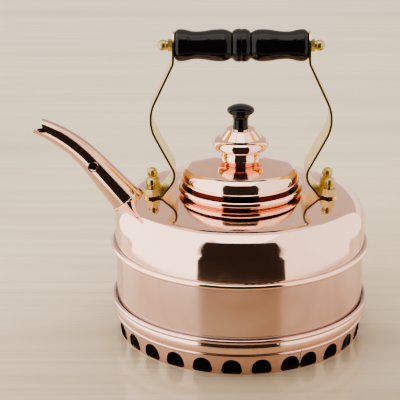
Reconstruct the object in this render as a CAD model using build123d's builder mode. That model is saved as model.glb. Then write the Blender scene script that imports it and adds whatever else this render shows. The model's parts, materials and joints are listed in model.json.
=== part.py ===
from build123d import *
import os
from math import cos, radians, sin, tan

# Copper tea kettle: a two-part vessel on a perforated skirt, a beaked spout, a rigid
# overhead handle and a lift-off lid. Millimetres, +Z up. The origin is on the vessel's
# axis, at the level it stands on. The spout points to -X and the handle lies in the XZ plane.

os.makedirs("parts", exist_ok=True)

# ---- driving dimensions ----
sheet = 1.0                     # copper sheet
brass_bar = 1.5                 # handle bar thickness

skirt_height = 17.5
skirt_foot_radius = 95.4
skirt_top_radius = 97.6
skirt_roll_radius = 1.5         # rolled edge along the band's top
skirt_sheet = 1.2
skirt_bow = 0.9                 # how far in the band stands at half height
skirt_holes = 27
skirt_hole_width = 14.6
skirt_hole_height = 12.0
skirt_hole_sill = 0.8           # rim left under each hole
skirt_hole_pitch = 13.48        # degrees; what is left over is the short gap at the seam
skirt_seam_angle = 27.2         # degrees from -Y towards +X
skirt_seam_gap = 0.3

coil_ring_radius = 83.0
coil_radius = 6.4
coil_wall = 1.2

pan_lip_radius = 98.2
pan_belly_radius = 99.8
pan_top = 26.4

bead_radius = 2.2
lower_bead_radius = 1.9
drum_radius = 97.2
lower_bead_centre = 99.5
drum_top = 71.3
middle_bead_centre = 99.3
middle_bead_height = 72.5

dome_radius = 98.0
shoulder_start = 92.0
shoulder_radius = 19.0
top_slope = 4.0                 # degrees, the vessel's nearly flat top
neck_radius = 45.0
neck_top = 115.0

collar_depth = 6.5
collar_roll_centre = 46.3
collar_roll_radius = 2.3

lid_gap = 0.3                   # between the lid and its seat
lid_rim_centre = 45.0
lid_rim_radius = 1.1
lid_rim_height = 123.9
lid_side_radius = 45.5
lid_neck_radius = 14.8
lid_neck_top = 146.8
skirt_sleeve_depth = 9.0
bulge_radius = 21.8
bulge_height = 151.4             # where it is widest
bulge_top = 157.3
pedestal_base_radius = 16.2
pedestal_top_radius = 10.8
pedestal_top = 163.8
ferrule_radius = 7.4
ferrule_height = 0.8
knob_radius = 10.6
knob_height = 18.9
knob_stem_radius = 5.9
knob_screw_radius = 2.0
knob_screw_length = 29.0

spout_root = (-88.3, 105.7)     # X and Z of the spout's axis where it meets the dome
spout_rise = 49.6               # degrees, its slope at the root
spout_turn = 29.0               # degrees, how much it levels off towards the tip
spout_straight = 39.5           # straight length before the bend
spout_bend_radius = 107.4
spout_root_radius = 12.6
spout_mid_radius = 9.6
spout_tip_radius = 6.5
spout_start = -5.0              # low enough for the tube and its ring to end on the dome
ring_radius = 13.6
ring_width = 7.0
spout_hole_radius = 11.6
eyelet_radius = 4.0
eyelet_bore = 2.5
eyelet_sleeve = 3.3

grip_height = 230.0
grip_end = 50.95                # half length between the two bars
rod_radius = 2.5
strip_hole_radius = 2.6
strip_top_radius = 11.0
strip_foot_half_width = 15.0
foot_bend = 60.8
foot_end = 75.0
stud_distance = 68.0            # from the axis, along X
stud_offset = 11.5              # either side of the XZ plane
stud_radius = 2.4
stud_gap = 0.16                 # washer's seat under the conical top
strip_corner_radius = 5.0
foot_washer_radius = 6.0
foot_nut_flats = 10.0
foot_nut_bore = 8.0
end_nut_bore = 6.5
grip_radius = 12.4
grip_waist_radius = 10.6
grip_groove_radius = 10.0
grip_face_radius = 8.8
grip_groove = 7.3               # half width of the middle bead
grip_swells = [(46.0, grip_radius), (34.5, grip_waist_radius), (16.0, grip_radius)]


# ---- shared geometry ----
def dome_top(radius):
    """Height of the vessel's outer top surface at a radius inside the shoulder."""
    slope = radians(top_slope)
    edge_radius = dome_radius - shoulder_radius + shoulder_radius * sin(slope)
    edge_height = shoulder_start + shoulder_radius * cos(slope)
    return edge_height + (edge_radius - radius) * tan(slope)


def spout_plane(distance):
    """Cross-section plane of the spout at a distance along its axis."""
    straight = min(distance, spout_straight)
    rise = radians(spout_rise)
    bent = (distance - straight) / spout_bend_radius
    angle = rise - bent
    x = spout_root[0] - straight * cos(rise) - spout_bend_radius * (sin(rise) - sin(angle))
    z = spout_root[1] + straight * sin(rise) + spout_bend_radius * (cos(angle) - cos(rise))
    return Plane(origin=(x, 0, z), x_dir=(0, 1, 0), z_dir=(-cos(angle), 0, sin(angle)))


spout_length = spout_straight + spout_bend_radius * radians(spout_turn)


def spout_radius(distance):
    """Outer radius of the spout: an even taper to the bend, a slower one after it."""
    if distance <= spout_straight:
        share = distance / spout_straight
        return spout_root_radius + share * (spout_mid_radius - spout_root_radius)
    share = (distance - spout_straight) / (spout_length - spout_straight)
    return spout_mid_radius + share * (spout_tip_radius - spout_mid_radius)


def side_of(plane):
    """The plane that holds the other one's normal as its Y direction, for turned pieces."""
    return Plane(origin=plane.origin, x_dir=plane.x_dir, z_dir=-plane.y_dir)


def foot_plane(side, across):
    """Seat of one handle stud: on the vessel's top, leaning with its slope."""
    slope = radians(top_slope)
    origin = (side * stud_distance, across, dome_top(stud_distance))
    return Plane(origin=origin, x_dir=(0, 1, 0), z_dir=(side * sin(slope), 0, cos(slope)))


foot_planes = []
for side in (-1, 1):
    for across in (-stud_offset, stud_offset):
        foot_planes.append(foot_plane(side, across))


# ---- skirt: a band with arched holes, closed by one butt seam ----
with BuildPart() as base_ring:
    with BuildSketch(Plane.XZ):
        with BuildLine():
            ThreePointArc(
                (skirt_foot_radius, 0),
                (skirt_top_radius - skirt_bow, skirt_height / 2),
                (skirt_top_radius, skirt_height),
            )
            Line((skirt_top_radius, skirt_height), (skirt_top_radius - skirt_sheet, skirt_height))
            ThreePointArc(
                (skirt_top_radius - skirt_sheet, skirt_height),
                (skirt_top_radius - skirt_sheet - skirt_bow, skirt_height / 2),
                (skirt_foot_radius - skirt_sheet, 0),
            )
            Line((skirt_foot_radius - skirt_sheet, 0), (skirt_foot_radius, 0))
        make_face()
        with Locations((skirt_top_radius - 0.3, skirt_height - skirt_roll_radius)):
            Circle(skirt_roll_radius)
    revolve(axis=Axis.Z)
    for number in range(skirt_holes):
        angle = radians(skirt_seam_angle + (360 - (skirt_holes - 1) * skirt_hole_pitch) / 2
                        + number * skirt_hole_pitch)
        outward = Plane(
            origin=(0, 0, skirt_hole_sill),
            x_dir=(cos(angle), sin(angle), 0),
            z_dir=(sin(angle), -cos(angle), 0),
        )
        half = skirt_hole_width / 2
        spring = skirt_hole_height - half
        with BuildSketch(outward.offset(skirt_foot_radius - 6)):
            with BuildLine():
                Line((-half + 1.5, 0), (half - 1.5, 0))
                ThreePointArc((half - 1.5, 0), (half - 0.35, 0.8), (half, spring))
                ThreePointArc((half, spring), (0, skirt_hole_height), (-half, spring))
                ThreePointArc((-half, spring), (-half + 0.35, 0.8), (-half + 1.5, 0))
            make_face()
        extrude(amount=14, mode=Mode.SUBTRACT)
    seam = radians(skirt_seam_angle)
    seam_plane = Plane(
        origin=(0, 0, skirt_height / 2),
        x_dir=(cos(seam), sin(seam), 0),
        z_dir=(sin(seam), -cos(seam), 0),
    )
    with BuildSketch(seam_plane.offset(skirt_foot_radius - 6)):
        Rectangle(skirt_seam_gap, skirt_height + 2)
    extrude(amount=14, mode=Mode.SUBTRACT)
base_ring.part.label = "base_ring"
export_step(base_ring.part, "parts/base_ring.step")

# ---- heat coil: the envelope of the wound wire, a tube lying against the bottom ----
with BuildPart() as heat_coil:
    with BuildSketch(Plane.XZ):
        with Locations((coil_ring_radius, skirt_height - coil_radius)):
            Circle(coil_radius)
            Circle(coil_radius - coil_wall, mode=Mode.SUBTRACT)
    revolve(axis=Axis.Z)
heat_coil.part.label = "heat_coil"
export_step(heat_coil.part, "parts/heat_coil.step")

# ---- pan: the vessel's bottom, its convex side and the flange under the drum ----
with BuildPart() as base_pan:
    belly = (skirt_height + pan_top) / 2
    with BuildSketch(Plane.XZ):
        with BuildLine():
            Line((0, skirt_height), (pan_lip_radius, skirt_height))
            ThreePointArc(
                (pan_lip_radius, skirt_height),
                (pan_belly_radius, belly),
                (pan_belly_radius - 1.1, pan_top),
            )
            Polyline(
                (pan_belly_radius - 1.1, pan_top),
                (drum_radius - sheet, pan_top),
                (drum_radius - sheet, pan_top - sheet),
                (pan_belly_radius - 2.1, pan_top - sheet),
            )
            ThreePointArc(
                (pan_belly_radius - 2.1, pan_top - sheet),
                (pan_belly_radius - sheet, belly),
                (pan_lip_radius - 0.3, skirt_height + sheet),
            )
            Polyline(
                (pan_lip_radius - 0.3, skirt_height + sheet),
                (0, skirt_height + sheet),
                (0, skirt_height),
            )
        make_face()
    revolve(axis=Axis.Z)
base_pan.part.label = "base_pan"
export_step(base_pan.part, "parts/base_pan.step")

# ---- drum: straight wall with a bead round its foot ----
with BuildPart() as drum_wall:
    with BuildSketch(Plane.XZ):
        with Locations((drum_radius - sheet, pan_top)):
            Rectangle(sheet, drum_top - pan_top, align=(Align.MIN, Align.MIN))
            Rectangle(lower_bead_centre - drum_radius + sheet, sheet, align=(Align.MIN, Align.MIN))
        with Locations((lower_bead_centre, pan_top + lower_bead_radius)):
            Circle(lower_bead_radius)
    revolve(axis=Axis.Z)
drum_wall.part.label = "drum_wall"
export_step(drum_wall.part, "parts/drum_wall.step")

# ---- outline of the upper half, used filled as an envelope and thin as the shell ----
shoulder_centre = dome_radius - shoulder_radius
shoulder_end = (
    shoulder_centre + shoulder_radius * sin(radians(top_slope)),
    shoulder_start + shoulder_radius * cos(radians(top_slope)),
)
shoulder_middle = (
    shoulder_centre + shoulder_radius * cos(radians(45)),
    shoulder_start + shoulder_radius * sin(radians(45)),
)

with BuildPart() as dome_envelope:
    with BuildSketch(Plane.XZ):
        with BuildLine():
            Polyline((0, drum_top), (dome_radius, drum_top), (dome_radius, shoulder_start))
            ThreePointArc((dome_radius, shoulder_start), shoulder_middle, shoulder_end)
            Polyline(shoulder_end, (0, dome_top(0)), (0, drum_top))
        make_face()
    revolve(axis=Axis.Z)

# ---- dome: inner ledge on the drum, middle bead, wall, shoulder, top, neck and holes ----
with BuildPart() as dome_shell:
    with BuildSketch(Plane.XZ):
        with BuildLine():
            Line((dome_radius, drum_top), (dome_radius, shoulder_start))
            ThreePointArc((dome_radius, shoulder_start), shoulder_middle, shoulder_end)
            FilletPolyline(
                shoulder_end,
                (neck_radius, dome_top(neck_radius)),
                (neck_radius, neck_top),
                radius=1.5,
            )
            offset(amount=sheet, side=Side.LEFT)
        make_face()
        with Locations((middle_bead_centre, middle_bead_height)):
            Circle(bead_radius)
        with Locations((drum_radius - sheet, drum_top)):
            Rectangle(dome_radius - drum_radius + sheet, 1.6, align=(Align.MIN, Align.MIN))
    revolve(axis=Axis.Z)
    with BuildSketch(spout_plane(-14)):
        Circle(spout_hole_radius)
    extrude(amount=17, mode=Mode.SUBTRACT)
    for plane in foot_planes:
        with BuildSketch(plane.offset(-3)):
            Circle(strip_hole_radius)
        extrude(amount=5, mode=Mode.SUBTRACT)
dome_shell.part.label = "dome_shell"
export_step(dome_shell.part, "parts/dome_shell.step")

# ---- collar: a sleeve in the neck, with the rolled rim and flat seat that carry the lid ----
roll_height = neck_top + collar_roll_radius + 0.1
seat_height = roll_height + collar_roll_radius

with BuildPart() as lid_seat_collar:
    with BuildSketch(Plane.XZ):
        bore = neck_radius - 2 * sheet
        sleeve_foot = neck_top - collar_depth
        with Locations((bore, sleeve_foot)):
            Rectangle(sheet, roll_height - sleeve_foot, align=(Align.MIN, Align.MIN))
        with Locations((bore, roll_height)):
            Rectangle(collar_roll_centre - bore, collar_roll_radius, align=(Align.MIN, Align.MIN))
        with Locations((collar_roll_centre, roll_height)):
            Circle(collar_roll_radius)
    revolve(axis=Axis.Z)
lid_seat_collar.part.label = "lid_seat_collar"
export_step(lid_seat_collar.part, "parts/lid_seat_collar.step")

# ---- spout: a cone and a bent taper, used solid as an envelope and hollow as the tube ----
bend_stations = [spout_straight, 51.0, 63.0, 75.0, 85.0, spout_length]

with BuildPart() as spout_envelope:
    for stations in ([spout_start, spout_straight], bend_stations):
        for distance in stations:
            with BuildSketch(spout_plane(distance)):
                Circle(spout_radius(distance))
        loft()

with BuildPart() as spout_tube:
    add(spout_envelope.part)
    for stations in ([spout_start, spout_straight], bend_stations):
        for distance in stations:
            with BuildSketch(spout_plane(distance)):
                Circle(spout_radius(distance) - sheet)
        loft(mode=Mode.SUBTRACT)
    # the beak: the upper wall is cut back, the lower lip runs on as a trough
    with BuildSketch(Plane.XZ):
        with BuildLine():
            Line((-152.8, 190), (-152.8, 169))
            ThreePointArc((-152.8, 169), (-152.0, 165.4), (-149.6, 162.5))
            Polyline((-149.6, 162.5), (-158.9, 162), (-175, 162), (-175, 190), (-152.8, 190))
        make_face()
    extrude(amount=20, both=True, mode=Mode.SUBTRACT)
    # hole for the vent's sleeve, on the -Y side
    vent = spout_plane(spout_straight).origin
    with BuildSketch(Plane(origin=(vent.X, 0, vent.Z), x_dir=(1, 0, 0), z_dir=(0, -1, 0))):
        Circle(eyelet_sleeve)
    extrude(amount=20, mode=Mode.SUBTRACT)
    add(dome_envelope.part, mode=Mode.SUBTRACT)
spout_tube.part.label = "spout_tube"
export_step(spout_tube.part, "parts/spout_tube.step")

# ---- vent eyelet: sleeve through the wall and a dished flange bedded on it ----
with BuildPart() as spout_vent_eyelet:
    vent_plane = Plane(origin=(vent.X, 0, vent.Z), x_dir=(1, 0, 0), z_dir=(0, -1, 0))
    with BuildSketch(vent_plane.offset(spout_mid_radius - 1.6)):
        Circle(eyelet_radius)
    extrude(amount=2.6)
    add(spout_envelope.part, mode=Mode.SUBTRACT)
    with BuildSketch(vent_plane.offset(spout_mid_radius - 2.6)):
        Circle(eyelet_sleeve)
    extrude(amount=3.0)
    with BuildSketch(vent_plane.offset(spout_mid_radius - 4)):
        Circle(eyelet_bore)
    extrude(amount=8, mode=Mode.SUBTRACT)
    with BuildSketch(side_of(vent_plane)):
        with BuildLine():
            face = spout_mid_radius + 1.0
            Polyline((0, face + 0.5), (3.6, face + 0.5), (2.2, face - 1.2), (0, face - 1.2),
                     close=True)
        make_face()
    revolve(axis=Axis(vent_plane.origin, vent_plane.z_dir), mode=Mode.SUBTRACT)
spout_vent_eyelet.part.label = "spout_vent_eyelet"
export_step(spout_vent_eyelet.part, "parts/spout_vent_eyelet.step")

# ---- ring round the spout's root ----
root_plane = spout_plane(0)
root_axis = Axis(root_plane.origin, root_plane.z_dir)

with BuildPart() as spout_ring:
    with BuildSketch(side_of(root_plane)):
        with Locations((0, spout_start)):
            Rectangle(ring_radius, ring_width, align=(Align.MIN, Align.MIN))
    revolve(axis=root_axis)
    fillet(spout_ring.edges().filter_by(GeomType.CIRCLE), radius=0.7)
    add(spout_envelope.part, mode=Mode.SUBTRACT)
    add(dome_envelope.part, mode=Mode.SUBTRACT)
spout_ring.part.label = "spout_ring"
export_step(spout_ring.part, "parts/spout_ring.step")


# ---- handle bars: a bent strip, wide at the foot and narrower at the grip ----
def handle_strip(side):
    """One brass bar, from its round top beside the grip down to its foot on the dome."""
    corners = [
        (side * grip_end, grip_height + strip_top_radius + 1),
        (side * grip_end, 218.0),
        (side * 71.8, 173.8),
        (side * 47.9, 128.6),
        (side * foot_bend, dome_top(foot_bend)),
        (side * foot_end, dome_top(foot_end)),
    ]
    outside = Side.LEFT if side > 0 else Side.RIGHT
    with BuildPart() as strip:
        with BuildSketch(Plane.XZ):
            with BuildLine():
                FilletPolyline(*corners, radius=[8, 30, 13, 6])
                offset(amount=brass_bar, side=outside)
            make_face()
        extrude(amount=strip_foot_half_width, both=True)
        with BuildSketch(Plane.YZ):
            with BuildLine():
                Polyline(
                    (strip_top_radius, grip_height),
                    (strip_top_radius, grip_height - 8),
                    (strip_foot_half_width, 150),
                    (strip_foot_half_width, 100),
                    (-strip_foot_half_width, 100),
                    (-strip_foot_half_width, 150),
                    (-strip_top_radius, grip_height - 8),
                    (-strip_top_radius, grip_height),
                )
                ThreePointArc(
                    (-strip_top_radius, grip_height),
                    (0, grip_height + strip_top_radius),
                    (strip_top_radius, grip_height),
                )
            make_face()
        extrude(amount=100, both=True, mode=Mode.INTERSECT)
        with BuildSketch(Plane.XY.offset(90)):
            with Locations((side * (foot_end - 30), 0)):
                RectangleRounded(60, 2 * strip_foot_half_width, strip_corner_radius)
        extrude(amount=200, mode=Mode.INTERSECT)
        with BuildSketch(Plane.YZ.offset(side * grip_end - 4)):
            with Locations((0, grip_height)):
                Circle(strip_hole_radius)
        extrude(amount=8, mode=Mode.SUBTRACT)
        for plane in foot_planes:
            with BuildSketch(plane.offset(-1)):
                Circle(strip_hole_radius)
            extrude(amount=4, mode=Mode.SUBTRACT)
    return strip


handle_strip_left = handle_strip(-1)
handle_strip_left.part.label = "handle_strip_left"
export_step(handle_strip_left.part, "parts/handle_strip_left.step")

handle_strip_right = handle_strip(1)
handle_strip_right.part.label = "handle_strip_right"
export_step(handle_strip_right.part, "parts/handle_strip_right.step")


# ---- acorn nuts: a hexagon with broken corners, a short neck and a ball ----
def acorn_nut(across_flats, hex_height, ball_radius, height, bore_radius, bore_depth):
    """A closed nut that stands on the XY plane."""
    flat = across_flats / 2
    corner = flat / cos(radians(30)) + 0.1
    neck = 0.8 * ball_radius
    ball_centre = height - ball_radius
    ball_start = ball_centre - (ball_radius ** 2 - neck ** 2) ** 0.5
    with BuildPart() as nut:
        with BuildSketch():
            RegularPolygon(radius=flat, side_count=6, major_radius=False)
        extrude(amount=hex_height)
        with BuildSketch(Plane.XZ):
            with BuildLine():
                Polyline(
                    (0, 0),
                    (flat, 0),
                    (corner, 0.5),
                    (corner, hex_height - 0.5),
                    (flat, hex_height),
                    (0, hex_height),
                    close=True,
                )
            make_face()
        revolve(axis=Axis.Z, mode=Mode.INTERSECT)
        with BuildSketch(Plane.XZ):
            with BuildLine():
                Polyline((0, height), (0, hex_height - 1), (neck, hex_height - 1), (neck, ball_start))
                ThreePointArc((neck, ball_start), (ball_radius, ball_centre), (0, height))
            make_face()
        revolve(axis=Axis.Z)
        with BuildSketch():
            Circle(bore_radius)
        extrude(amount=bore_depth, mode=Mode.SUBTRACT)
    return nut


# ---- foot fasteners: stud with a round head inside, washer, acorn nut outside ----
washer_top = -sheet - stud_gap
washer_bottom = washer_top - 0.8

with BuildPart() as foot_washers:
    for plane in foot_planes:
        with BuildSketch(plane.offset(washer_bottom)):
            Circle(foot_washer_radius)
            Circle(strip_hole_radius, mode=Mode.SUBTRACT)
        extrude(amount=washer_top - washer_bottom)
foot_washers.part.label = "foot_washers"
export_step(foot_washers.part, "parts/foot_washers.step")

with BuildPart() as foot_studs:
    for plane in foot_planes:
        with BuildSketch(side_of(plane)):
            with BuildLine():
                head_bottom = washer_bottom - 2.4
                shank_top = brass_bar + foot_nut_bore
                Line((0, head_bottom), (2.2, head_bottom))
                ThreePointArc(
                    (2.2, head_bottom),
                    (3.8, head_bottom + 0.9),
                    (4.4, washer_bottom),
                )
                Polyline(
                    (4.4, washer_bottom),
                    (stud_radius, washer_bottom),
                    (stud_radius, shank_top),
                    (0, shank_top),
                    (0, head_bottom),
                )
            make_face()
        revolve(axis=Axis(plane.origin, plane.z_dir))
foot_studs.part.label = "foot_studs"
export_step(foot_studs.part, "parts/foot_studs.step")

foot_nut = acorn_nut(foot_nut_flats, 6.0, 4.25, 15.0, stud_radius, foot_nut_bore)
with BuildPart() as foot_nuts:
    for plane in foot_planes:
        with Locations(plane.offset(brass_bar)):
            add(foot_nut.part)
foot_nuts.part.label = "foot_nuts"
export_step(foot_nuts.part, "parts/foot_nuts.step")

# ---- handle rod, through the grip and both bars into the end nuts ----
bar_face = grip_end + brass_bar
with BuildPart() as handle_rod:
    with BuildSketch(Plane.YZ.offset(-bar_face - end_nut_bore)):
        with Locations((0, grip_height)):
            Circle(rod_radius)
    extrude(amount=2 * (bar_face + end_nut_bore))
handle_rod.part.label = "handle_rod"
export_step(handle_rod.part, "parts/handle_rod.step")

end_nut = acorn_nut(8.6, 3.4, 4.25, 11.2, rod_radius, end_nut_bore)
with BuildPart() as handle_end_nuts:
    for side in (-1, 1):
        seat = Plane(origin=(side * bar_face, 0, grip_height), x_dir=(0, 1, 0), z_dir=(side, 0, 0))
        with Locations(seat):
            add(end_nut.part)
handle_end_nuts.part.label = "handle_end_nuts"
export_step(handle_end_nuts.part, "parts/handle_end_nuts.step")

# ---- grip: one turned piece, a bead in the middle and a long double swell each side ----
with BuildPart() as handle_grip:
    with BuildSketch(Plane.XZ):
        with BuildLine():
            base = grip_height
            Line((0, base + rod_radius), (grip_end, base + rod_radius))
            Line((grip_end, base + rod_radius), (grip_end, base + grip_face_radius))
            ThreePointArc(
                (grip_end, base + grip_face_radius),
                (49.7, base + 11.2),
                (46.0, base + grip_radius),
            )
            # each swell runs into the next through two equal arcs
            for (start, start_radius), (end, end_radius) in zip(grip_swells, grip_swells[1:]):
                middle = ((start + end) / 2, base + (start_radius + end_radius) / 2)
                first = TangentArc((start, base + start_radius), middle, tangent=(-1, 0))
                TangentArc(middle, (end, base + end_radius), tangent=first % 1)
            ThreePointArc(
                (16.0, base + grip_radius),
                (10.2, base + 11.5),
                (grip_groove, base + grip_groove_radius),
            )
            ThreePointArc(
                (grip_groove, base + grip_groove_radius),
                (grip_groove * 0.72, base + 11.9),
                (0, base + grip_radius),
            )
            Line((0, base + grip_radius), (0, base + rod_radius))
        make_face()
        mirror(about=Plane.YZ)
    revolve(axis=Axis((0, 0, grip_height), (1, 0, 0)))
handle_grip.part.label = "handle_grip"
export_step(handle_grip.part, "parts/handle_grip.step")

# ---- lid cover: foot on the seat, bead above it, round shoulder, cone and a closed neck ----
lid_base = seat_height + lid_gap
sleeve_radius = neck_radius - 2 * sheet - lid_gap

with BuildPart() as lid_cover:
    with BuildSketch(Plane.XZ):
        with BuildLine():
            FilletPolyline(
                (lid_rim_centre, lid_rim_height),
                (lid_side_radius, 133.0),
                (lid_neck_radius, 140.4),
                (lid_neck_radius, lid_neck_top),
                (knob_screw_radius + 0.2, lid_neck_top),
                radius=[9.4, 4.5, 1.5],
            )
            offset(amount=sheet, side=Side.LEFT)
        make_face()
        with Locations((lid_rim_centre, lid_rim_height)):
            Circle(lid_rim_radius)
        with Locations((sleeve_radius, lid_base)):
            Rectangle(sheet, lid_rim_height - lid_base, align=(Align.MIN, Align.MIN))
        with Locations((sleeve_radius, lid_rim_height)):
            Rectangle(lid_rim_centre - sleeve_radius, sheet, align=(Align.MIN, Align.MAX))
    revolve(axis=Axis.Z)
lid_cover.part.label = "lid_cover"
export_step(lid_cover.part, "parts/lid_cover.step")

# ---- lid skirt: the sleeve that drops into the collar ----
with BuildPart() as lid_skirt:
    with BuildSketch(Plane.XZ):
        with Locations((sleeve_radius - sheet, lid_base - skirt_sleeve_depth)):
            Rectangle(sheet, skirt_sleeve_depth + 2, align=(Align.MIN, Align.MIN))
    revolve(axis=Axis.Z)
lid_skirt.part.label = "lid_skirt"
export_step(lid_skirt.part, "parts/lid_skirt.step")

# ---- the two spun tiers on the lid's neck ----
with BuildPart() as lid_bulge:
    with BuildSketch(Plane.XZ):
        with BuildLine():
            bottom = lid_neck_top
            rise = bulge_height - bottom
            Line((12.0, bottom), (lid_neck_radius, bottom))
            ThreePointArc(
                (lid_neck_radius, bottom),
                (19.5, bottom + 0.28 * rise),
                (bulge_radius, bulge_height),
            )
            ThreePointArc(
                (bulge_radius, bulge_height),
                (20.4, bulge_height + 3.9),
                (pedestal_base_radius, bulge_top),
            )
            Polyline(
                (pedestal_base_radius, bulge_top),
                (12.0, bulge_top),
                (12.0, bulge_top - sheet),
                (pedestal_base_radius - 0.4, bulge_top - sheet),
            )
            ThreePointArc(
                (pedestal_base_radius - 0.4, bulge_top - sheet),
                (19.6, bulge_height + 3.3),
                (bulge_radius - sheet, bulge_height),
            )
            ThreePointArc(
                (bulge_radius - sheet, bulge_height),
                (18.7, bottom + 0.28 * rise + 0.8),
                (lid_neck_radius, bottom + sheet),
            )
            Polyline((lid_neck_radius, bottom + sheet), (12.0, bottom + sheet), (12.0, bottom))
        make_face()
    revolve(axis=Axis.Z)
lid_bulge.part.label = "lid_bulge"
export_step(lid_bulge.part, "parts/lid_bulge.step")

with BuildPart() as lid_pedestal:
    with BuildSketch(Plane.XZ):
        with BuildLine():
            Polyline(
                (pedestal_base_radius, bulge_top),
                (pedestal_top_radius, pedestal_top),
                (knob_screw_radius + 0.2, pedestal_top),
                (knob_screw_radius + 0.2, pedestal_top - sheet),
                (pedestal_top_radius - 0.8, pedestal_top - sheet),
                (pedestal_base_radius - 1.2, bulge_top),
                close=True,
            )
        make_face()
    revolve(axis=Axis.Z)
lid_pedestal.part.label = "lid_pedestal"
export_step(lid_pedestal.part, "parts/lid_pedestal.step")

# ---- knob on its ferrule, held from inside by a screw and washer ----
with BuildPart() as knob_ferrule:
    with BuildSketch(Plane.XY.offset(pedestal_top)):
        Circle(ferrule_radius)
        Circle(knob_screw_radius + 0.2, mode=Mode.SUBTRACT)
    extrude(amount=ferrule_height)
knob_ferrule.part.label = "knob_ferrule"
export_step(knob_ferrule.part, "parts/knob_ferrule.step")

knob_base = pedestal_top + ferrule_height
washer_face = lid_neck_top - sheet
screw_seat = washer_face - 0.8
screw_end = screw_seat + knob_screw_length

with BuildPart() as lid_knob:
    with BuildSketch(Plane.XZ):
        with BuildLine():
            Line((0, screw_end), (knob_screw_radius, screw_end))
            Line((knob_screw_radius, screw_end), (knob_screw_radius, knob_base))
            Polyline(
                (knob_screw_radius, knob_base),
                (knob_stem_radius, knob_base),
                (knob_stem_radius - 0.2, knob_base + 5.7),
            )
            ThreePointArc(
                (knob_stem_radius - 0.2, knob_base + 5.7),
                (knob_stem_radius + 0.8, knob_base + 9.3),
                (knob_radius - 1.8, knob_base + 11.7),
            )
            ThreePointArc(
                (knob_radius - 1.8, knob_base + 11.7),
                (knob_radius, knob_base + 14.6),
                (knob_radius - 0.9, knob_base + 16.1),
            )
            TangentArc(
                (0, knob_base + knob_height),
                (knob_radius - 0.9, knob_base + 16.1),
                tangent=(1, 0),
            )
            Line((0, knob_base + knob_height), (0, screw_end))
        make_face()
    revolve(axis=Axis.Z)
lid_knob.part.label = "lid_knob"
export_step(lid_knob.part, "parts/lid_knob.step")

with BuildPart() as knob_washer:
    with BuildSketch(Plane.XY.offset(screw_seat)):
        Circle(7.0)
        Circle(knob_screw_radius + 0.2, mode=Mode.SUBTRACT)
    extrude(amount=washer_face - screw_seat)
knob_washer.part.label = "knob_washer"
export_step(knob_washer.part, "parts/knob_washer.step")

with BuildPart() as knob_screw:
    with BuildSketch(Plane.XZ):
        with BuildLine():
            Line((0, screw_seat - 2.2), (1.5, screw_seat - 2.2))
            ThreePointArc((1.5, screw_seat - 2.2), (3.4, screw_seat - 1.3), (4.0, screw_seat))
            Polyline(
                (4.0, screw_seat),
                (knob_screw_radius, screw_seat),
                (knob_screw_radius, screw_end),
                (0, screw_end),
                (0, screw_seat - 2.2),
            )
        make_face()
    revolve(axis=Axis.Z)
    with BuildSketch(Plane.XY.offset(screw_seat - 2.2)):
        Rectangle(9, 1.0)
    extrude(amount=1.0, mode=Mode.SUBTRACT)
knob_screw.part.label = "knob_screw"
export_step(knob_screw.part, "parts/knob_screw.step")
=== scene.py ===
import json
from math import cos, pi, radians, sin

import bpy
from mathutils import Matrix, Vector


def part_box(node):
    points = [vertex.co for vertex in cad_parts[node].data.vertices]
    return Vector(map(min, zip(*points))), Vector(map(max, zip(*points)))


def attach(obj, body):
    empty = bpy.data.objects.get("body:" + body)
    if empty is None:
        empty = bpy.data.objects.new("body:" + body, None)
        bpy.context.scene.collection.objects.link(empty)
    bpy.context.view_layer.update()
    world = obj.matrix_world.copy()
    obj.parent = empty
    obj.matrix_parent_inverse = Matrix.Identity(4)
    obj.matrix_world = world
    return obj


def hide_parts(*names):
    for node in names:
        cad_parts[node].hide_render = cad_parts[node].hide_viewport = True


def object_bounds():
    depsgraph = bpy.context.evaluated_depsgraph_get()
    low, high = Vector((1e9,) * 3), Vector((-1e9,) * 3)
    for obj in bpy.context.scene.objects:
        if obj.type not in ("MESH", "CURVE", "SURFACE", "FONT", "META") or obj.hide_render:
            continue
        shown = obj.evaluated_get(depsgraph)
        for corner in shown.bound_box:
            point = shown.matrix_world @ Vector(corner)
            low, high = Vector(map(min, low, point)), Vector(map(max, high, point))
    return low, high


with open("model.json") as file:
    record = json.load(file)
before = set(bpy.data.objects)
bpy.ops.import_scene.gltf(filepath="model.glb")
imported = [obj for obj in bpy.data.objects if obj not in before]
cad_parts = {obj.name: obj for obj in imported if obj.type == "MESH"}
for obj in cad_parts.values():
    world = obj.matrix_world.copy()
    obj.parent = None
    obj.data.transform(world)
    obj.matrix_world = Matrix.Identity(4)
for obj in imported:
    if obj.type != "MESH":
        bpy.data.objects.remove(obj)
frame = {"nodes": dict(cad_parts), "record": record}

# Copper kettle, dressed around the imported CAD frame. Everything is in metres: lengths on the
# kettle are written in millimetres times MM, those of the stage in metres. The kettle stands
# on z = 0, the spout points to -X and the camera is at -Y.

cad_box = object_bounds()
nodes = frame["nodes"]
MM = 0.001


# ---- material kit ----
def make_material(name):
    """An empty node material, its tree and its Principled shader."""
    material = bpy.data.materials.new(name)
    material.use_nodes = True
    return material, material.node_tree, material.node_tree.nodes["Principled BSDF"]


def add_node(tree, kind, inputs=None, **settings):
    """One node with its settings; an input is either a value or an output socket."""
    node = tree.nodes.new(kind)
    for key, value in settings.items():
        setattr(node, key, value)
    for key, value in (inputs or {}).items():
        if isinstance(value, bpy.types.NodeSocket):
            tree.links.new(value, node.inputs[key])
        else:
            node.inputs[key].default_value = value
    return node


def position(tree):
    """Position on the piece, in metres."""
    return add_node(tree, "ShaderNodeTexCoord").outputs["Object"]


def stretched(tree, vector, scale):
    """The vector scaled along its three axes."""
    return add_node(tree, "ShaderNodeMapping", {"Vector": vector, "Scale": scale}).outputs[0]


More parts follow.
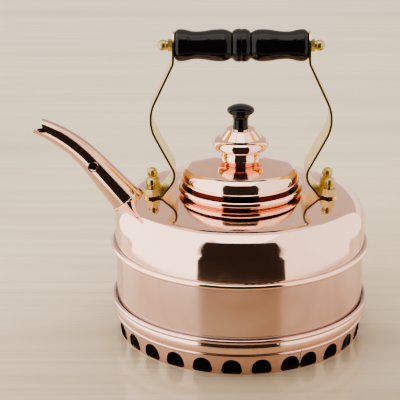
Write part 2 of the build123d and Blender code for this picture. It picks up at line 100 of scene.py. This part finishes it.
def noise(tree, vector, scale, detail=3.0, roughness=0.5):
    """Noise value between 0 and 1."""
    inputs = {"Vector": vector, "Scale": scale, "Detail": detail, "Roughness": roughness}
    return add_node(tree, "ShaderNodeTexNoise", inputs).outputs["Fac"]


def remap(tree, value, low, high, to_low=0.0, to_high=1.0):
    """A value range mapped to another, clamped."""
    inputs = {"Value": value, "From Min": low, "From Max": high,
              "To Min": to_low, "To Max": to_high}
    return add_node(tree, "ShaderNodeMapRange", inputs).outputs["Result"]


def blend_colours(tree, factor, first, second):
    """Two colours mixed by a factor."""
    node = add_node(tree, "ShaderNodeMix", {0: factor}, data_type="RGBA")
    for socket, value in ((node.inputs[6], first), (node.inputs[7], second)):
        if isinstance(value, bpy.types.NodeSocket):
            tree.links.new(value, socket)
        else:
            socket.default_value = (*value, 1.0)
    return node.outputs[2]


def math_node(tree, operation, first, second=0.0):
    """One arithmetic step."""
    return add_node(tree, "ShaderNodeMath", {0: first, 1: second}, operation=operation).outputs[0]


def bump(tree, height, distance, normal=None):
    """Bump normal of a height that is 0 to 1, for a relief of the given distance."""
    inputs = {"Height": height, "Distance": distance, "Strength": 1.0}
    if normal is not None:
        inputs["Normal"] = normal
    return add_node(tree, "ShaderNodeBump", inputs).outputs["Normal"]


def axes_of(tree, vector):
    """The three components of a vector."""
    return add_node(tree, "ShaderNodeSeparateXYZ", {0: vector}).outputs


def around_axis(tree, vector):
    """(angle, radius, height) about the kettle's axis."""
    x, y, height = axes_of(tree, vector)
    angle = math_node(tree, "ARCTAN2", y, x)
    squares = math_node(tree, "ADD", math_node(tree, "POWER", x, 2.0),
                        math_node(tree, "POWER", y, 2.0))
    radius = math_node(tree, "SQRT", squares)
    return add_node(tree, "ShaderNodeCombineXYZ", {0: angle, 1: radius, 2: height}).outputs[0]


# ---- masks: 1 on the surfaces that each one names, 0 elsewhere ----
FACES_AXIS = -0.02                              # normal against the direction outwards
FACES_LEVEL = 0.8                               # upward part of the normal
FACES_FRONT = 0.9                               # forward part of the normal
GROOVE_HEIGHTS = (118.0 * MM, 123.4 * MM)


def face_normal(tree):
    """Normal of the surface."""
    return add_node(tree, "ShaderNodeNewGeometry").outputs["Normal"]


def facing_inwards(tree):
    """Surfaces that face the kettle's axis."""
    level = stretched(tree, position(tree), (1.0, 1.0, 0.0))
    outwards = add_node(tree, "ShaderNodeVectorMath", {0: level}, operation="NORMALIZE").outputs[0]
    product = add_node(tree, "ShaderNodeVectorMath", {0: face_normal(tree), 1: outwards},
                       operation="DOT_PRODUCT").outputs["Value"]
    return math_node(tree, "LESS_THAN", product, FACES_AXIS)


def facing_up(tree):
    """Surfaces that face upwards."""
    return math_node(tree, "GREATER_THAN", axes_of(tree, face_normal(tree))[2], FACES_LEVEL)


def facing_down(tree):
    """Surfaces that face downwards."""
    return math_node(tree, "LESS_THAN", axes_of(tree, face_normal(tree))[2], -FACES_LEVEL)


def narrow_edge(tree):
    """Edges of a bent bar, which face forwards or backwards, not its broad faces; they get a line
    of painted shade.
    """
    forwards = math_node(tree, "ABSOLUTE", axes_of(tree, face_normal(tree))[1])
    return math_node(tree, "GREATER_THAN", forwards, FACES_FRONT)


def lid_groove(tree):
    """The lid's groove over its seat, which gets a painted dark red shade."""
    low, high = GROOVE_HEIGHTS
    height = axes_of(tree, position(tree))[2]
    above = math_node(tree, "GREATER_THAN", height, low)
    return math_node(tree, "MULTIPLY", above, math_node(tree, "LESS_THAN", height, high))


# ---- materials ----
BUFFING_RELIEF = 0.01 * MM
LACQUER_RELIEF = 0.03 * MM


def polished_metal(name, tint, shade, roughness, dents=0.0, tarnish=0.5, linings=()):
    """Buffed sheet: fine buffing lines, smudges, a little tarnish and slight unevenness. Each
    lining is (mask maker, colour, roughness), for surfaces that look unlike the rest."""
    material, tree, shader = make_material(name)
    place = position(tree)
    clouds = remap(tree, noise(tree, place, 14.0, 4.0), 0.42, 0.68, 0.0, tarnish)
    colour = blend_colours(tree, clouds, tint, shade)
    smudges = noise(tree, place, 45.0, 5.0, 0.6)
    rough = remap(tree, smudges, 0.35, 0.75, *roughness)
    for mask_maker, lining_colour, lining_roughness in linings:
        mask = mask_maker(tree)
        colour = blend_colours(tree, mask, colour, lining_colour)
        rough = add_node(tree, "ShaderNodeMix", {0: mask, 2: rough, 3: lining_roughness}).outputs[0]
    tree.links.new(colour, shader.inputs["Base Color"])
    tree.links.new(rough, shader.inputs["Roughness"])
    lines = stretched(tree, around_axis(tree, place), (3.0, 900.0, 900.0))
    normal = bump(tree, noise(tree, lines, 1.0, 2.0), BUFFING_RELIEF)
    if dents:
        normal = bump(tree, noise(tree, place, 22.0, 1.0), dents, normal)
    tree.links.new(normal, shader.inputs["Normal"])
    shader.inputs["Metallic"].default_value = 1.0
    return material


def black_lacquer(name, tint, shade):
    """Glossy black lacquer with faint turning marks under the clear coat."""
    material, tree, shader = make_material(name)
    place = position(tree)
    grain = noise(tree, stretched(tree, place, (900.0, 60.0, 60.0)), 1.0, 2.0)
    tree.links.new(blend_colours(tree, grain, tint, shade), shader.inputs["Base Color"])
    tree.links.new(remap(tree, noise(tree, place, 60.0, 4.0), 0.35, 0.75, 0.1, 0.2),
                   shader.inputs["Roughness"])
    tree.links.new(bump(tree, noise(tree, place, 90.0, 2.0), LACQUER_RELIEF),
                   shader.inputs["Normal"])
    shader.inputs["Coat Weight"].default_value = 0.3
    shader.inputs["Specular IOR Level"].default_value = 0.3
    shader.inputs["Coat Roughness"].default_value = 0.04
    return material


copper_tint, copper_shade = (0.95, 0.66, 0.54), (0.88, 0.53, 0.40)
# painted shade: satin and skirt copper are darker copies of the dome's copper, for the shadowed
# floor they reflect
satin_shaded_tint, satin_shaded_tarnish = (0.83, 0.60, 0.53), (0.75, 0.49, 0.40)
skirt_tint, skirt_shade = (0.80, 0.53, 0.44), (0.72, 0.44, 0.34)
spout_tint, spout_shade = (0.75, 0.49, 0.39), (0.66, 0.39, 0.28)
coil_tint, coil_shade = (0.90, 0.62, 0.50), (0.55, 0.32, 0.24)
brass_tint, brass_shade = (0.52, 0.40, 0.19), (0.36, 0.25, 0.10)
bar_tint, bar_shade = (0.88, 0.71, 0.31), (0.74, 0.57, 0.24)
dull_brass = (0.5, 0.33, 0.12)
# painted shade: a darker line along the bars' narrow edges
edge_painted_shade = (0.45, 0.33, 0.12)
# painted shade: dark red in the lid's groove
groove_painted_shade = (0.11, 0.02, 0.015)
tin = (0.50, 0.50, 0.49)
# near-black for the skirt's inside and the pan's underside: partly soot, mostly painted shade where
# little light gets in
soot_and_shade = (0.014, 0.008, 0.006)
lacquer_tint, lacquer_shade = (0.006, 0.0055, 0.006), (0.016, 0.013, 0.012)

mirror_rough = (0.05, 0.13)
duller_mirror_rough = (0.06, 0.16)
satin_rough = (0.10, 0.2)
mirror_dents = 0.2 * MM
satin_dents = 0.3 * MM
brass_dents = 0.1 * MM

tin_inside = (facing_inwards, tin, 0.38)
tin_above = (facing_up, tin, 0.38)
# painted shade with some soot, inside the skirt and under the pan
soot_and_shade_inside = (facing_inwards, soot_and_shade, 0.5)
soot_and_shade_below = (facing_down, soot_and_shade, 0.5)

slot_materials = {
    "polished_copper": polished_metal("polished_copper", copper_tint, copper_shade,
                                      mirror_rough, mirror_dents),
    "satin_copper": polished_metal("satin_copper", satin_shaded_tint, satin_shaded_tarnish,
                                   satin_rough, satin_dents, 0.9, [tin_inside]),
    "skirt_copper": polished_metal("skirt_copper", skirt_tint, skirt_shade,
                                   satin_rough, satin_dents, linings=[soot_and_shade_inside]),
    "coil_copper": polished_metal("coil_copper", coil_tint, coil_shade, (0.08, 0.2)),
    "polished_brass": polished_metal("polished_brass", brass_tint, brass_shade,
                                     (0.26, 0.4), brass_dents),
    "plain_brass": polished_metal("plain_brass", brass_shade, dull_brass, (0.25, 0.45)),
    "black_lacquered_wood": black_lacquer("black_lacquered_wood", lacquer_tint, lacquer_shade),
}
lined_copper = polished_metal("lined_copper", copper_tint, copper_shade, mirror_rough,
                              mirror_dents, linings=[tin_inside])
bar_brass = polished_metal("bar_brass", bar_tint, bar_shade, (0.22, 0.36),
                           brass_dents, linings=[(narrow_edge, edge_painted_shade, 0.3)])
spout_copper = polished_metal("spout_copper", spout_tint, spout_shade, duller_mirror_rough,
                              mirror_dents)
lid_copper = polished_metal("lid_copper", copper_tint, copper_shade, mirror_rough,
                            mirror_dents, linings=[(lid_groove, groove_painted_shade, 0.16)])
pan_copper = polished_metal("pan_copper", copper_tint, copper_shade, duller_mirror_rough,
                            mirror_dents, linings=[tin_inside, tin_above, soot_and_shade_below])
own_materials = {
    "dome_shell": lined_copper,
    "base_pan": pan_copper,
    "lid_cover": lid_copper,
    "spout_tube": spout_copper,
    "spout_ring": spout_copper,
    "handle_strip_left": bar_brass,
    "handle_strip_right": bar_brass,
}
for entry in frame["record"]["subparts"]:
    name = entry["node"]
    node_materials = nodes[name].data.materials
    node_materials.clear()
    node_materials.append(own_materials.get(name, slot_materials[entry["material_slot"]]))


# ---- heat coil: one closed wire wound round a ring ----
COIL_TURNS = 141
WIRE_RADIUS = 0.85 * MM
COIL_PLAY = 0.05 * MM                           # between the wire and its CAD box
STEPS_PER_TURN = 18
WIRE_SIDES = 8


def mesh_piece(name, vertices, faces, material):
    """A smooth-shaded mesh object."""
    mesh = bpy.data.meshes.new(name)
    mesh.from_pydata(vertices, [], faces)
    mesh.materials.append(material)
    mesh.shade_smooth()
    piece = bpy.data.objects.new(name, mesh)
    bpy.context.scene.collection.objects.link(piece)
    return piece


def wound_ring(name, box, turns, wire_radius, material):
    """A closed helix that fills a ring-shaped box, as a tube of WIRE_SIDES sides."""
    low, high = box
    coil_radius = (high.z - low.z) / 2
    ring_radius = (high.x - low.x) / 2 - coil_radius
    level = (high.z + low.z) / 2
    helix = coil_radius - wire_radius - COIL_PLAY
    steps = turns * STEPS_PER_TURN

    def centre_line(step):
        """A point on the wire's middle, and its direction from the coil's middle."""
        around = 2 * pi * step / steps
        wind = turns * around
        outwards = Vector((cos(around), sin(around), 0.0))
        reach = outwards * cos(wind) + Vector((0.0, 0.0, sin(wind)))
        return outwards * ring_radius + Vector((0.0, 0.0, level)) + reach * helix, reach

    vertices = []
    for step in range(steps):
        point, reach = centre_line(step)
        along = (centre_line(step + 1)[0] - centre_line(step - 1)[0]).normalized()
        across = along.cross(reach).normalized()
        outer = across.cross(along)
        for side in range(WIRE_SIDES):
            angle = 2 * pi * side / WIRE_SIDES
            vertices.append(point + (outer * cos(angle) + across * sin(angle)) * wire_radius)
    faces = []
    for step in range(steps):
        here, there = step * WIRE_SIDES, (step + 1) % steps * WIRE_SIDES
        for side in range(WIRE_SIDES):
            following = (side + 1) % WIRE_SIDES
            faces.append((here + side, here + following, there + following, there + side))
    return mesh_piece(name, vertices, faces, material)


heat_coil_wire = wound_ring("heat_coil_wire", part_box("heat_coil"), COIL_TURNS, WIRE_RADIUS,
                            slot_materials["coil_copper"])
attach(heat_coil_wire, "vessel")
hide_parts("heat_coil")


# ---- stage kit ----
SECTOR_STEPS = 16


def plane_mesh(name, corners, material):
    """One flat face of the stage."""
    mesh = bpy.data.meshes.new(name)
    mesh.from_pydata([Vector(corner) for corner in corners], [], [range(len(corners))])
    mesh.materials.append(material)
    plane = bpy.data.objects.new(name, mesh)
    bpy.context.scene.collection.objects.link(plane)
    return plane


def glow(name, colour, strength, one_sided=False):
    """A plain emitter; a one-sided one is clear from behind."""
    material, tree, shader = make_material(name)
    tree.nodes.remove(shader)
    light = {"Color": (*colour, 1.0), "Strength": strength}
    surface = add_node(tree, "ShaderNodeEmission", light).outputs[0]
    if one_sided:
        behind = add_node(tree, "ShaderNodeNewGeometry").outputs["Backfacing"]
        clear = add_node(tree, "ShaderNodeBsdfTransparent").outputs[0]
        surface = add_node(tree, "ShaderNodeMixShader",
                           {0: behind, 1: surface, 2: clear}).outputs[0]
    tree.links.new(surface, tree.nodes["Material Output"].inputs["Surface"])
    return material


def mirror_only(card):
    """Leaves a card visible to mirror reflections and nothing else."""
    card.visible_camera = False
    card.visible_diffuse = False
    card.visible_shadow = False


def floor_sector(name, start, end, inner, outer, height, material):
    """A flat ring sector just over the floor that only mirror reflections from above see, so
    that it neither lights nor shades the floor; angles in degrees from -Y to +X."""
    vertices = []
    for step in range(SECTOR_STEPS + 1):
        angle = radians(start + (end - start) * step / SECTOR_STEPS)
        for reach in (inner, outer):
            vertices.append((reach * sin(angle), -reach * cos(angle), height))
    faces = [(2 * step, 2 * step + 1, 2 * step + 3, 2 * step + 2) for step in range(SECTOR_STEPS)]
    sector = mesh_piece(name, vertices, faces, material)
    mirror_only(sector)


def soft_panel(name, corners, material):
    """A light panel that the camera doesn't see."""
    panel = plane_mesh(name, corners, material)
    panel.visible_camera = False


# ---- floor: pale and streaked, with painted shade darker towards the camera, warmer to the right ----
near_painted_shade, near_painted_shade_grain = (0.57, 0.47, 0.335), (0.40, 0.315, 0.21)
far_left_tone, far_right_tone = (0.97, 0.88, 0.62), (0.97, 0.80, 0.54)
far_grain = (0.78, 0.67, 0.46)
painted_shadow_tone = (0.09, 0.07, 0.055)                # painted shadow inside the kettle's standing rim
painted_shadow_radius = 93.5 * MM
depth_range = (-0.16, 0.3)                      # y from the near painted shade to the far tone
side_range = (-0.3, 0.2)                        # x from the far left tone to the far right one
far_share = 0.85
floor_reach = 4

floor_material, tree, shader = make_material("floor_surface")
place = position(tree)
grain = noise(tree, stretched(tree, place, (3.0, 110.0, 1.0)), 1.0, 5.0, 0.6)
broad = noise(tree, stretched(tree, place, (1.5, 15.0, 1.0)), 1.0, 2.0)
streaks = math_node(tree, "MAXIMUM", remap(tree, grain, 0.35, 0.75, 0.0, 0.8),
                    remap(tree, broad, 0.42, 0.7, 0.0, 0.9))
across, away, _ = axes_of(tree, place)
# painted shade, fading from the near tones by the camera to the far tones
depth = remap(tree, away, *depth_range, 0.0, far_share)
far_tone = blend_colours(tree, remap(tree, across, *side_range), far_left_tone, far_right_tone)
plain = blend_colours(tree, depth, near_painted_shade, far_tone)
streaked = blend_colours(tree, streaks, plain, blend_colours(tree, depth, near_painted_shade_grain, far_grain))
# painted shadow: a near-black disc on the floor under the kettle, seen through the skirt's holes
from_axis = axes_of(tree, around_axis(tree, place))[1]
painted_shadow_mask = math_node(tree, "LESS_THAN", from_axis, painted_shadow_radius)
tree.links.new(blend_colours(tree, painted_shadow_mask, streaked, painted_shadow_tone),
               shader.inputs["Base Color"])
shader.inputs["Roughness"].default_value = 0.6
shader.inputs["Coat Weight"].default_value = 0.9
shader.inputs["Coat Roughness"].default_value = 0.14
plane_mesh("floor", [(-floor_reach, -floor_reach, 0), (floor_reach, -floor_reach, 0),
                     (floor_reach, floor_reach, 0), (-floor_reach, floor_reach, 0)],
           floor_material)


# ---- light tent: panels left, right and above, open and dark at the front ----
tent = 0.28                                     # its half width
tent_foot = 0.002                               # height of the side panels' lower edge
tent_front = 0.42                               # how far forward they reach at the bottom
tent_front_top = 0.29                           # and at the top
tent_back = 0.20
tent_top = 0.95
roof_front, roof_back = -0.50, 0.15             # y of the top panel's edges
gap = 33.5                                      # degrees either side of -Y that stay dark
side_reach = 100.0                              # degrees from -Y to where the floor cards end
card_height = 0.001
near, far = 0.268, 1.9                          # radii of the floor cards
dark_top, dark_top_reach = 3.2, 1.5             # height and half width of the dark wall's top
back_y, back_reach, back_foot, back_top = 1.9, 2.4, 0.55, 2.8

softbox_light = ((1.0, 0.975, 0.95), 1.25)      # colour and strength
dim_light = ((1.0, 0.945, 0.88), 0.86)
gap_light = ((0.034, 0.028, 0.023), 1.0)
back_light = ((0.42, 0.36, 0.32), 1.0)

softbox = glow("softbox_glow", *softbox_light)
dim_softbox = glow("dim_softbox_glow", *dim_light)
for name, x, material in (("softbox_left", -tent, softbox), ("softbox_right", tent, dim_softbox)):
    soft_panel(name, [(x, -tent_front, tent_foot), (x, tent_back, tent_foot),
                      (x, tent_back, tent_top), (x, -tent_front_top, tent_top)], material)
soft_panel("softbox_top", [(-tent, roof_front, tent_top), (tent, roof_front, tent_top),
                           (tent, roof_back, tent_top), (-tent, roof_back, tent_top)], softbox)

dark = glow("dark_glow", *gap_light)
dark_below = glow("dark_floor_glow", *gap_light, one_sided=True)
softbox_below = glow("softbox_floor_glow", *softbox_light, one_sided=True)
dim_below = glow("dim_floor_glow", *dim_light, one_sided=True)
floor_sector("dark_floor", -gap, gap, near, far, card_height, dark_below)
floor_sector("softbox_floor_left", -side_reach, -gap, near, far, card_height, softbox_below)
floor_sector("softbox_floor_right", gap, side_reach, near, far, card_height, dim_below)
wall_reach, wall_y = far * sin(radians(gap)), -far * cos(radians(gap))
soft_panel("dark_wall", [(-wall_reach, wall_y, 0), (wall_reach, wall_y, 0),
                         (dark_top_reach, wall_y, dark_top),
                         (-dark_top_reach, wall_y, dark_top)], dark)
mirror_only(plane_mesh("back_card", [(-back_reach, back_y, back_foot),
                                     (back_reach, back_y, back_foot),
                                     (back_reach, back_y, back_top),
                                     (-back_reach, back_y, back_top)],
                       glow("back_glow", *back_light)))

world = bpy.data.worlds.new("studio")
bpy.context.scene.world = world
world.use_nodes = True
background = world.node_tree.nodes["Background"].inputs
background["Color"].default_value = (0.80, 0.76, 0.71, 1.0)
background["Strength"].default_value = 0.8
view = bpy.context.scene.view_settings
view.view_transform = "AgX"
view.look = "AgX - High Contrast"
view.exposure = 0.6


# ---- camera ----
camera_distance = 1.332
camera_elevation = radians(20.0)
camera_lens, camera_sensor = 153.0, 36.0        # millimetres
aim_x, aim_z = -2.0 * MM, -16.3 * MM            # from the middle of the CAD box

low, high = (Vector(corner) for corner in cad_box)
centre = (low + high) / 2
target = Vector((centre.x + aim_x, 0.0, centre.z + aim_z))
towards_camera = Vector((0.0, -cos(camera_elevation), sin(camera_elevation)))
camera_data = bpy.data.cameras.new("camera")
camera_data.lens = camera_lens
camera_data.sensor_width = camera_sensor
camera = bpy.data.objects.new("camera", camera_data)
camera.location = target + camera_distance * towards_camera
camera.rotation_euler = (radians(90.0) - camera_elevation, 0.0, 0.0)
bpy.context.scene.collection.objects.link(camera)
bpy.context.scene.camera = camera
